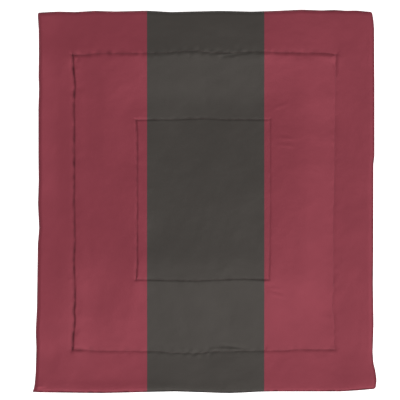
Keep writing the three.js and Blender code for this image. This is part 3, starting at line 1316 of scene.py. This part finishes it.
@dataclass(frozen=True)
class NodeTree:
    """Short calls that add nodes to a material and join them.

    Attributes:
        tree: the material's own tree.
    """

    tree: bpy.types.NodeTree

    def add(self, kind: str, **values: object) -> bpy.types.Node:
        """Adds a node.

        Args:
            kind: which node it is.
            values: its settings by name.

        Returns:
            The node.
        """
        node = self.tree.nodes.new(kind)
        for name, value in values.items():
            setattr(node, name, value)
        return node

    def join(self, output: bpy.types.NodeSocket, target: bpy.types.NodeSocket) -> None:
        """Links an output to an input."""
        self.tree.links.new(output, target)

    def math(self, operation: str, first: object, second: object = None) -> bpy.types.NodeSocket:
        """Adds a Math node.

        Args:
            operation: what it works out.
            first, second: the numbers or outputs that it takes.

        Returns:
            Its output.
        """
        node = self.add("ShaderNodeMath", operation=operation)
        for socket, value in zip(node.inputs, (first, second)):
            if isinstance(value, bpy.types.NodeSocket):
                self.join(value, socket)
            elif value is not None:
                socket.default_value = value
        return node.outputs[0]

    def ramp(
        self, value: bpy.types.NodeSocket, ends: tuple[float, float], start: float, end: float
    ) -> bpy.types.NodeSocket:
        """Adds a Map Range node.

        Args:
            value: the output that it takes.
            ends: where the ramp starts and ends.
            start, end: what comes out there and beyond.

        Returns:
            Its output.
        """
        node = self.add("ShaderNodeMapRange")
        self.join(value, node.inputs["Value"])
        set_inputs(node, {"From Min": ends[0], "From Max": ends[1], "To Min": start, "To Max": end})
        return node.outputs["Result"]

    def noise(self, place: bpy.types.Node, cloud: Cloud) -> bpy.types.NodeSocket:
        """Adds cloudy noise on the object's own coordinates.

        Args:
            place: the Texture Coordinate node.
            cloud: how close and how fine the noise is.

        Returns:
            Its output, mostly from 0.3 to 0.7.
        """
        node = self.add("ShaderNodeTexNoise")
        self.join(place.outputs["Object"], node.inputs["Vector"])
        set_inputs(node, {"Scale": cloud.scale, "Detail": cloud.detail})
        return node.outputs["Fac"]

    def bump(self, height: bpy.types.NodeSocket, relief: Relief) -> bpy.types.Node:
        """Adds a Bump node.

        Args:
            height: the output that stands for the height.
            relief: how strong and how deep it is.

        Returns:
            The node.
        """
        node = self.add("ShaderNodeBump")
        set_inputs(node, {"Strength": relief.strength, "Distance": relief.depth * MM})
        self.join(height, node.inputs["Height"])
        return node


def new_material(
    name: str, values: dict[str, object]
) -> tuple[bpy.types.Material, NodeTree, bpy.types.Node]:
    """Makes a material.

    Args:
        name: of the material.
        values: what is the same all over the surface, by the name of the shader's socket.

    Returns:
        The material, its nodes and its shader.
    """
    material = bpy.data.materials.new(name)
    material.use_nodes = True
    shader = material.node_tree.nodes["Principled BSDF"]
    set_inputs(shader, values)
    return material, NodeTree(material.node_tree), shader


@dataclass(frozen=True)
class ClothFinish:
    """Smooth close-woven cloth, printed with a band on the face or plain on the back.

    Attributes:
        name: of the material.
        banded: whether the charcoal band is printed on it.
        band_left, band_right: where that band starts and ends.
        bleed: how far the two dyes run into one another.
        thread_pitch: distance between the threads of the weave.
        roughness: of the cloth.
        fuzz: how much rougher it is at a slant, where the ends of the fibres show.
        fuzz_slant: range of the slant over which that comes in.
        slant_blend: setting of the slant, even from face on to edge on at a half.
        sheen: how much the fibres catch the light at a slant.
        sheen_roughness: how wide that light is spread.
        gloss: how much light the cloth throws back undyed.
        lustre: share of the light that the dyed fibres throw back as gloss of their own colour.
        cloud_ends: range of cloudy noise that counts.
        rough_cloud, rough_change: where the cloth is a little rougher, and by how much.
        dye_cloud, dye_change: where the dye is a little lighter, and by how much.
        wrinkle_cloud, wrinkles: the faint small wrinkles all over, and how deep they are.
        weave: how deep the weave is.
    """

    name: str
    banded: bool
    band_left: float = -384.4
    band_right: float = 398.4
    bleed: float = 0.6
    thread_pitch: float = 0.42
    roughness: float = 0.33
    fuzz: float = 0.6
    fuzz_slant: tuple[float, float] = (0.2, 0.7)
    slant_blend: float = 0.5
    sheen: float = 0.05
    sheen_roughness: float = 0.45
    gloss: float = 0.05
    lustre: float = 0.18
    cloud_ends: tuple[float, float] = (0.3, 0.7)
    rough_cloud: Cloud = Cloud(9.0, 3.0)
    rough_change: float = 0.02
    dye_cloud: Cloud = Cloud(5.0, 4.0)
    dye_change: float = 0.035
    wrinkle_cloud: Cloud = Cloud(28.0, 3.0)
    wrinkles: Relief = Relief(0.35, 1.6)
    weave: Relief = Relief(0.12, 0.08)

    def make(self) -> bpy.types.Material:
        """Makes the material.

        Returns:
            The material.
        """
        material, nodes, shader = new_material(self.name, {
            "Sheen Weight": self.sheen,
            "Sheen Roughness": self.sheen_roughness,
            "Metallic": self.lustre,
            "Specular IOR Level": self.gloss,
        })
        place = nodes.add("ShaderNodeTexCoord")
        nodes.join(self.colour(nodes, place), shader.inputs["Base Color"])
        smoother, rougher = self.roughness - self.rough_change, self.roughness + self.rough_change
        cloudy = nodes.noise(place, self.rough_cloud)
        rough = nodes.ramp(cloudy, self.cloud_ends, smoother, rougher)
        slant = nodes.add("ShaderNodeLayerWeight")
        set_inputs(slant, {"Blend": self.slant_blend})
        fuzz = nodes.ramp(slant.outputs["Facing"], self.fuzz_slant, 0.0, self.fuzz)
        nodes.join(nodes.math("ADD", rough, fuzz), shader.inputs["Roughness"])
        nodes.join(self.relief(nodes, place), shader.inputs["Normal"])
        return material

    def colour(self, nodes: NodeTree, place: bpy.types.Node) -> bpy.types.NodeSocket:
        """The dye, a little uneven, with the straight-edged band over the middle of the face,
        darkened by painted shade in the quilting and at the edges.

        Args:
            nodes: the material's nodes.
            place: its Texture Coordinate node.

        Returns:
            The output with the colour.
        """
        mix = nodes.add("ShaderNodeMix", data_type="RGBA")
        set_inputs(mix, {"A": Dye.WINE.value, "B": Dye.CHARCOAL.value, "Factor": 0.0})
        if self.banded:
            split = nodes.add("ShaderNodeSeparateXYZ")
            nodes.join(place.outputs["Object"], split.inputs[0])
            bleed = self.bleed * MM
            left, right = self.band_left * MM, self.band_right * MM
            after = nodes.ramp(split.outputs["X"], (left - bleed, left + bleed), 0.0, 1.0)
            before = nodes.ramp(split.outputs["X"], (right - bleed, right + bleed), 1.0, 0.0)
            nodes.join(nodes.math("MULTIPLY", after, before), mix.inputs["Factor"])
        uneven = nodes.add("ShaderNodeHueSaturation")
        nodes.join(mix.outputs["Result"], uneven.inputs["Color"])
        cloudy = nodes.noise(place, self.dye_cloud)
        dyed = nodes.ramp(cloudy, self.cloud_ends, 1.0 - self.dye_change, 1.0 + self.dye_change)
        # Painted shade: the colour is darkened by the share stored on the face's points.
        painted_shade_node = nodes.add("ShaderNodeAttribute", attribute_name="painted_shade")
        kept = nodes.math("SUBTRACT", 1.0, painted_shade_node.outputs["Fac"])
        nodes.join(nodes.math("MULTIPLY", dyed, kept), uneven.inputs["Value"])
        return uneven.outputs["Color"]

    def relief(self, nodes: NodeTree, place: bpy.types.Node) -> bpy.types.NodeSocket:
        """The weave, as waves along both thread directions multiplied, over the small wrinkles.

        Args:
            nodes: the material's nodes.
            place: its Texture Coordinate node.

        Returns:
            The output with the turned normal.
        """
        threads = nodes.add("ShaderNodeSeparateXYZ")
        nodes.join(place.outputs["UV"], threads.inputs[0])
        turns = math.pi / (self.thread_pitch * MM)
        warp = nodes.math("SINE", nodes.math("MULTIPLY", threads.outputs["X"], turns))
        weft = nodes.math("SINE", nodes.math("MULTIPLY", threads.outputs["Y"], turns))
        weave = nodes.bump(nodes.math("MULTIPLY", warp, weft), self.weave)
        wrinkles = nodes.bump(nodes.noise(place, self.wrinkle_cloud), self.wrinkles)
        nodes.join(wrinkles.outputs["Normal"], weave.inputs["Normal"])
        return weave.outputs["Normal"]


@dataclass(frozen=True)
class ThreadFinish:
    """Spun sewing thread, with its twist as slanting ridges.

    Attributes:
        name: of the material.
        roughness: of the thread.
        sheen: how much its fibres catch the light at a slant.
        twist: how close its ridges are, half as many to the millimetre.
        ridges: how deep they are.
    """

    name: str = "sewing_thread"
    roughness: float = 0.5
    sheen: float = 0.2
    twist: float = 1.1
    ridges: Relief = Relief(0.4, 0.1)

    def make(self) -> bpy.types.Material:
        """Makes the material.

        Returns:
            The material.
        """
        material, nodes, shader = new_material(self.name, {
            "Base Color": Dye.THREAD.value,
            "Roughness": self.roughness,
            "Sheen Weight": self.sheen,
        })
        place = nodes.add("ShaderNodeTexCoord")
        wave = nodes.add("ShaderNodeTexWave", bands_direction="DIAGONAL")
        nodes.join(place.outputs["Object"], wave.inputs["Vector"])
        set_inputs(wave, {"Scale": self.twist / MM / 2.0})
        bump = nodes.bump(wave.outputs["Fac"], self.ridges)
        nodes.join(bump.outputs["Normal"], shader.inputs["Normal"])
        return material


@dataclass(frozen=True)
class Lamp:
    """A round lamp so far off that it is as bright all over the comforter.

    Attributes:
        name: of the lamp.
        elevation: its height over the floor, in degrees.
        azimuth: its direction, in degrees anticlockwise from +X.
        width: how wide it looks, in degrees.
        light: how brightly it lights a flat white floor, where 1 is white.
        away: how far off its object is put, in metres.
    """

    name: str
    elevation: float
    azimuth: float
    width: float
    light: float
    away: float = 6.0

    def make(self) -> None:
        """Adds the lamp, with a strength of pi * light / sin(elevation)."""
        low, turn = math.radians(self.elevation), math.radians(self.azimuth)
        lamp = bpy.data.lights.new(self.name, "SUN")
        lamp.energy = math.pi * self.light / math.sin(low)
        lamp.angle = math.radians(self.width)
        made = add_object(self.name, lamp)
        flat = math.cos(low)
        towards = Vector((flat * math.cos(turn), flat * math.sin(turn), math.sin(low)))
        made.location = towards * self.away
        made.rotation_mode = "QUATERNION"
        made.rotation_quaternion = (-towards).to_track_quat("-Z", "Y")


@dataclass(frozen=True)
class Studio:
    """A white floor, soft light from above and from the lower right, and a camera overhead.

    Attributes:
        frame_width: width of the floor that the picture takes in, in millimetres.
        middle: the place on the floor at the middle of the picture, in millimetres.
        lens: focal length, long so that the comforter is seen square on all over.
        sensor: width of the camera's sensor, in millimetres.
        sight: how far the camera sees, in shares of its distance from the floor.
        floor_side: length of the floor's sides, in metres.
        floor_drop: how far it is under the comforter, in millimetres.
        floor_white, floor_roughness, floor_gloss: its finish.
        floor_glow: light of its own, which keeps it white round the comforter.
        surround: strength of the even light from all round.
        lamp: the one lamp.
    """

    frame_width: float = 2676.2
    middle: tuple[float, float] = (-30.8, 9.4)
    lens: float = 200.0
    sensor: float = 36.0
    sight: float = 4.0
    floor_side: float = 60.0
    floor_drop: float = 0.5
    floor_white: float = 0.94
    floor_roughness: float = 0.9
    floor_gloss: float = 0.1
    floor_glow: float = 0.75
    surround: float = 0.42
    lamp: Lamp = Lamp("softbox", 60.0, -55.0, 54.0, 0.66)

    def floor(self) -> None:
        """A plain white floor."""
        half = self.floor_side / 2.0
        mesh = bpy.data.meshes.new("studio_floor")
        corners = [(-half, -half, 0.0), (half, -half, 0.0), (half, half, 0.0), (-half, half, 0.0)]
        mesh.from_pydata(corners, [], [(0, 1, 2, 3)])
        made = add_object("studio_floor", mesh)
        made.location.z = -self.floor_drop * MM
        material, _, _ = new_material("white_floor", {
            "Base Color": (self.floor_white, self.floor_white, self.floor_white, 1.0),
            "Roughness": self.floor_roughness,
            "Specular IOR Level": self.floor_gloss,
            "Emission Color": (1.0, 1.0, 1.0, 1.0),
            "Emission Strength": self.floor_glow,
        })
        mesh.materials.append(material)

    def lights(self) -> None:
        """The lamp and an even pale surround."""
        self.lamp.make()
        world = bpy.data.worlds.new("studio")
        world.use_nodes = True
        background = world.node_tree.nodes["Background"]
        set_inputs(background, {"Color": (1.0, 1.0, 1.0, 1.0), "Strength": self.surround})
        bpy.context.scene.world = world
        bpy.context.scene.view_settings.view_transform = "Standard"

    def camera(self) -> None:
        """A camera straight above, so far off that the picture takes in the frame's width."""
        data = bpy.data.cameras.new("overhead_camera")
        data.lens = self.lens
        data.sensor_width = self.sensor
        made = add_object("overhead_camera", data)
        away = self.frame_width * MM * self.lens / self.sensor
        made.location = (self.middle[0] * MM, self.middle[1] * MM, away)
        data.clip_end = away * self.sight
        bpy.context.scene.camera = made

    def build(self) -> None:
        """Sets up the floor, the lights and the camera."""
        self.floor()
        self.lights()
        self.camera()


def report(piece: bpy.types.Object) -> None:
    """Logs a piece's name, its triangles and its box.

    Args:
        piece: the piece.
    """
    triangles = sum(len(face.vertices) - 2 for face in piece.data.polygons)
    size = ", ".join(f"{side / MM:.0f}" for side in piece.dimensions)
    LOG.info("%s: %d triangles, %s mm", piece.name, triangles, size)


def main() -> None:
    """Builds the studio and the comforter, in order."""
    logging.basicConfig(level=logging.INFO, format="%(name)s: %(message)s")
    Studio().build()
    shell = ComforterShell()
    cloth = shell.build()
    cloth.data.materials.append(ClothFinish("face_cloth", True).make())
    cloth.data.materials.append(ClothFinish("back_cloth", False).make())
    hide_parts(NODE)
    pieces = [cloth]
    thread = ThreadFinish().make()
    for side in Side:
        stitches = QuiltingThread(shell, side).build()
        stitches.data.materials.append(thread)
        pieces.append(stitches)
    for piece in pieces:
        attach(piece, BODY)
        report(piece)


if __name__ == "__main__":
    main()
